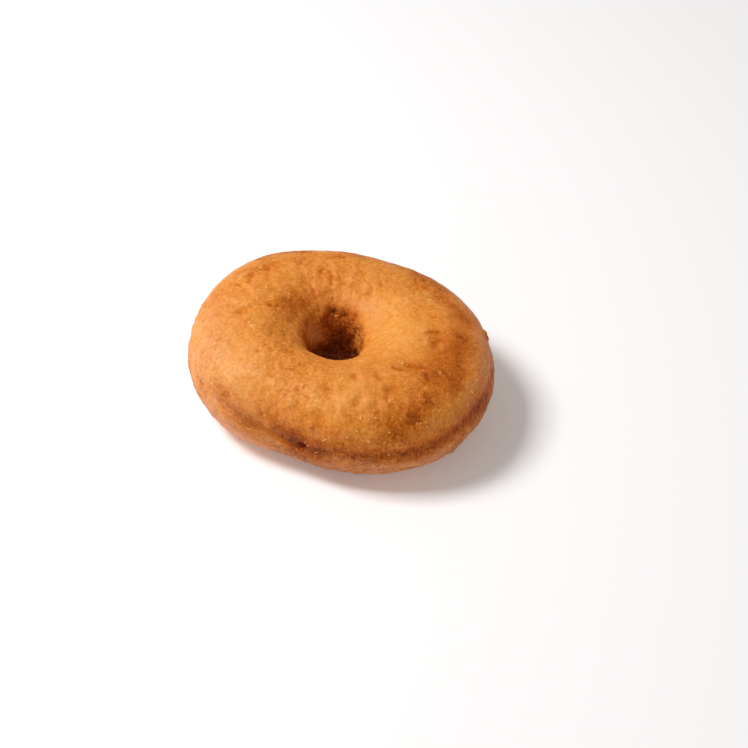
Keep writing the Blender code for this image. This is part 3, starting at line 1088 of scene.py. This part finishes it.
# single flakes: turn, section, half length and half width in mm, heading as the camera sees it
placedFlakes = (
    # the near side
    (-52, 43, 0.8, 0.3, 90),
    (-38, 59, 0.6, 0.42, 80),
    (-43, 70, 0.45, 0.32, 110),
    (-42, 58, 0.45, 0.22, 90),
    (-41, 58, 0.3, 0.2, 0),
    (-46, 51, 0.35, 0.28, 60),
    (-47, 46, 0.45, 0.16, 90),
    (-46, 43, 0.4, 0.35, 0),
    (-49, 42, 0.25, 0.2, 0),
    (-40, 40, 0.3, 0.25, 0),
    (-54, 28, 0.4, 0.33, 0),
    (-65, 15, 0.4, 0.22, 150),
    (-58, 19, 0.45, 0.3, 100),
    (-42, 27, 0.4, 0.32, 0),
    (-50, 16, 0.4, 0.35, 0),
    (-42, 17, 0.3, 0.25, 0),
    (-44, 14, 0.3, 0.3, 0),
    (-40, 10, 0.3, 0.3, 0),
    (-67, 10, 1.3, 0.2, 23),
    (-60, -8, 0.4, 0.3, 70),
    (-63, -14, 0.45, 0.22, 0),
    (-43, -5, 0.4, 0.35, 90),
    (-71, -13, 0.9, 0.2, 15),
    (-50, -8, 0.25, 0.22, 0),
    (-52, -10, 0.25, 0.22, 0),
    (-44, -11, 0.25, 0.22, 0),
    # the right side
    (20, 86, 0.65, 0.25, 0),
    (20, 69, 0.5, 0.22, 0),
    (13, 84, 0.6, 0.22, 95),
    (8, 83, 0.25, 0.22, 0),
    (-16, 89, 0.5, 0.45, 0),
    (-15, 85, 0.5, 0.22, 80),
    (-16, 93, 0.35, 0.3, 150),
    (-21, 82, 0.4, 0.28, 20),
    (-12, 73, 0.42, 0.4, 60),
    (-8, 62, 0.55, 0.3, 100),
    (-4, 63, 0.25, 0.2, 0),
    (-20, 59, 0.55, 0.22, 0),
    (-24, 67, 0.3, 0.25, 0),
    (-30, 32, 0.3, 0.3, 0),
    (-31, 33, 0.5, 0.25, 90),
    (-28, 31, 0.35, 0.25, 90),
    (-28, 26, 0.45, 0.16, 90),
    (-21, 36, 0.45, 0.2, 80),
    (-9, 25, 0.6, 0.2, 110),
    (-4, 31, 0.6, 0.2, 100),
    (2, 34, 0.4, 0.25, 60),
    (14, 32, 0.35, 0.3, 0),
    # the left side and the far rim
    (164, 70, 0.8, 0.3, 10),
    (177, 94, 0.8, 0.25, 90),
    (172, 108, 0.25, 0.25, 0),
    (170, 110, 0.25, 0.2, 0),
    (-170, 111, 0.5, 0.22, 90),
    (-168, 83, 0.2, 0.18, 0),
    (-146, 88, 0.65, 0.25, 0),
    (-142, 90, 0.6, 0.4, 10),
    (-124, 22, 0.4, 0.35, 0),
    (-125, 26, 0.25, 0.22, 0),
    (-127, 28, 0.25, 0.22, 0),
    (-120, 55, 0.3, 0.3, 0),
    (-118, 70, 0.5, 0.15, 90),
    (-106, 65, 0.5, 0.15, 90),
    (140, 104, 0.5, 0.35, 90),
    (142, 110, 0.35, 0.3, 0),
    (133, 121, 0.3, 0.25, 0),
    (130, 126, 0.6, 0.28, 85),
    (147, 95, 0.6, 0.2, 90),
    (153, 107, 0.3, 0.25, 0),
    # the belt's left end and the pit
    (-106, 3, 0.5, 0.25, 90),
    (-110, -4, 0.5, 0.25, 90),
    (-109, 3, 0.4, 0.18, 90),
    (-104, -12, 0.6, 0.3, -10),
    (-105, -11, 0.3, 0.25, 0),
    (-97, 3, 0.5, 0.16, 90),
    (-96, 15, 0.5, 0.22, 70),
    (-94, 1, 0.5, 0.22, 90),
    (-79, -6, 0.3, 0.14, 30),
    (-76, -4, 0.3, 0.14, -10),
    (-74, -6, 0.28, 0.14, -60),
    (-74, -11, 0.28, 0.14, 70),
    (-76, -16, 0.3, 0.12, 20),
    (-81, -18, 0.5, 0.15, 95),
    (-80, -17, 0.5, 0.15, 95),
    (-78, -15, 0.25, 0.22, 0),
    (-78, 14, 0.3, 0.25, 0),
    (-75, -7, 0.5, 0.22, 70),
    (-76, -5, 0.35, 0.2, 150),
    # crumbs at the edge of the hole, partly painted glints on its lit wall
    (126, 139, 0.6, 0.4, 0),
    (132, 138, 0.5, 0.2, 90),
    (116, 136, 0.45, 0.16, 90),
    (94, 141, 0.4, 0.25, 80),
    (84, 140, 0.35, 0.3, 0),
    (71, 136, 0.4, 0.3, 0),
    (88, 137, 0.3, 0.2, 60),
    (60, 136, 0.4, 0.2, 70),
    (55, 141, 0.5, 0.18, 100),
    (46, 137, 0.4, 0.2, 60),
    (100, 141, 0.4, 0.2, 90),
)


def namedValue(graph, name):
    return graph.made("GeometryNodeInputNamedAttribute", {"Name": name}, {"data_type": "FLOAT"})


def randomValue(graph, name, low=0.0, high=1.0):
    inputs = {"Min": low, "Max": high, "Seed": flakeSeeds[name]}
    return graph.made("FunctionNodeRandomValue", inputs, {"data_type": "FLOAT"}, "Value")


def flakeTree(material):
    inputs = {name: "NodeSocketFloat" for name in ("density", "small", "large")}
    inputs.update({"ring": "NodeSocketObject", "single": "NodeSocketObject", "seed": "NodeSocketInt"})
    graph, at = makeTree("crustFlakes", inputs)
    below, single = (
        graph.made("GeometryNodeObjectInfo", {"Object": at[name]}, key="Geometry")
        for name in ("ring", "single")
    )
    density = namedValue(graph, "speckle") * at["density"]
    spread = graph.node(
        "GeometryNodeDistributePointsOnFaces",
        {"distribute_method": "RANDOM"},
        {"Mesh": below, "Density": density, "Seed": at["seed"]},
    )
    chance = randomValue(graph, "width")
    longer = randomValue(graph, "length", 1.0, 2.0)
    spin = randomValue(graph, "spin", 0.0, math.tau)
    width = at["small"] + (at["large"] - at["small"]) * chance * chance * chance
    around = graph.made("FunctionNodeAxisAngleToRotation", {"Axis": Vector((0, 0, 1)), "Angle": spin})
    turned = graph.made(
        "FunctionNodeRotateRotation",
        {"Rotation": graph.out(spread, "Rotation"), "Rotate By": around},
        {"rotation_space": "LOCAL"},
    )
    placed = graph.made(
        "GeometryNodeInstanceOnPoints",
        {
            "Points": graph.out(spread, "Points"),
            "Instance": graph.made("GeometryNodeMeshIcoSphere", {"Radius": 1.0, "Subdivisions": 1}),
            "Rotation": turned,
            "Scale": graph.combine(width * longer, width, width * flakes["height"]),
        },
    )
    both = graph.node("GeometryNodeJoinGeometry", None, {"Geometry": placed})
    graph.feed(both.inputs["Geometry"], single)
    whole = graph.made("GeometryNodeRealizeInstances", {"Geometry": graph.out(both)})
    brown = graph.made(
        "GeometryNodeSampleNearestSurface",
        {"Mesh": below, "Value": namedValue(graph, "brown")},
        {"data_type": "FLOAT"},
    )
    finishTree(graph, graph.stored(whole, "brown", brown), material)
    return graph


def crumbAndGlintMaterial():
    material, graph = newMaterial("paleCrumbsAndGlints")
    brown = attribute(graph, "brown") + (crust["browning"] - flakes["lighter"])
    colour = crustColour(graph, brown, flakes["pale"])
    finish = {"Roughness": flakes["roughness"], "Specular IOR Level": flakes["gloss"]}
    finishMaterial(graph, {"Base Color": colour, **finish})
    return material


def makeSingleFlakes():
    # each on the surface, lengthwise along its heading, which is 0 to the picture's right
    right, up, back = viewAxes()
    build = bmesh.new()
    for turn, section, long, wide, heading in placedFlakes:
        _, spot, normal, _ = doughnut.closest_point_on_mesh(ringPlace(turn, section) + boxShift)
        seen = right * math.cos(math.radians(heading)) + up * math.sin(math.radians(heading))
        slant = seen.dot(normal) / most(back.dot(normal), flakes["edge on"])
        along = (seen - back * slant).normalized()
        side = normal.cross(along).normalized()
        axes = Matrix((side.cross(normal), side, normal)).transposed().to_4x4()
        sizes = (long * mm, wide * mm, flakes["placed height"] * mm, 1.0)
        grown = Matrix.Translation(spot) @ axes @ Matrix.Diagonal(sizes)
        bmesh.ops.create_icosphere(build, subdivisions=2, radius=1.0, matrix=grown)
    mesh = bpy.data.meshes.new("singleFlakes")
    build.to_mesh(mesh)
    build.free()
    return addObject("singleFlakes", mesh)


singleFlakes = makeSingleFlakes()
values = {name: flakes[name] for name in ("density", "small", "large", "seed")}
values.update({"ring": doughnut, "single": singleFlakes})
crustFlakes = makeFromTree("crustFlakes", flakeTree(crumbAndGlintMaterial()), values)
bpy.data.objects.remove(singleFlakes)
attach(crustFlakes, "root")
print("flakes", len(crustFlakes.data.polygons), "faces")

floor = {"size": 6.0, "colour": (0.95, 0.95, 0.95, 1.0), "roughness": 0.8, "glow": 0.16}


def makeFloor():
    half = floor["size"] / 2.0
    mesh = bpy.data.meshes.new("floor")
    corners = [(-half, -half, 0), (half, -half, 0), (half, half, 0), (-half, half, 0)]
    mesh.from_pydata(corners, [], [(0, 1, 2, 3)])
    made = addObject("floor", mesh)
    material, graph = newMaterial("paleFloor")
    shader = {
        "Base Color": floor["colour"],
        "Roughness": floor["roughness"],
        "Specular IOR Level": 0.0,
        "Emission Color": (1.0, 1.0, 1.0, 1.0),
        "Emission Strength": floor["glow"],
    }
    finishMaterial(graph, shader)
    mesh.materials.append(material)


makeFloor()
print("floor")


def makeCamera():
    right, up, back = viewAxes()
    perPixel = photo["distance"] / photo["focal"]
    half = photo["size"] / 2.0
    centre = Vector(photo["centre"])
    aim = centre + right * (half - photo["place"][0]) * perPixel - up * (half - photo["place"][1]) * perPixel
    data = bpy.data.cameras.new("camera")
    data.sensor_width = photo["sensor"]
    data.lens = photo["focal"] / photo["size"] * data.sensor_width
    data.clip_start = photo["nearest"]
    made = addObject("camera", data)
    made.location = centre + back * photo["distance"]
    made.rotation_euler = (made.location - aim).to_track_quat("Z", "Y").to_euler()
    bpy.context.scene.camera = made


makeCamera()

# the light comes from so far right of the camera, towards it and up
keyLight = {
    "from": (-0.57, -0.05, 0.86),
    "distance": 0.9,
    "size": 0.3,
    "power": 6.72,
    "colour": (1.0, 1.0, 1.02),
}
skyLight = {"colour": (1.0, 0.94, 0.88, 1.0), "strength": 0.29}


def makeLights():
    right = viewAxes()[0]
    towards = Vector((right.y, -right.x, 0.0))
    sideways, forwards, upwards = keyLight["from"]
    direction = right * sideways + towards * forwards + Vector((0, 0, upwards))
    direction.normalize()
    data = bpy.data.lights.new("key", "AREA")
    data.size = keyLight["size"]
    data.energy = keyLight["power"]
    data.color = keyLight["colour"]
    made = addObject("key", data)
    made.location = Vector(photo["centre"]) + direction * keyLight["distance"]
    made.rotation_euler = direction.to_track_quat("Z", "Y").to_euler()
    world = bpy.data.worlds.new("sky")
    world.use_nodes = True
    background = world.node_tree.nodes["Background"]
    background.inputs["Color"].default_value = skyLight["colour"]
    background.inputs["Strength"].default_value = skyLight["strength"]
    bpy.context.scene.world = world
    bpy.context.scene.view_settings.view_transform = "Standard"


makeLights()
print("camera and light")
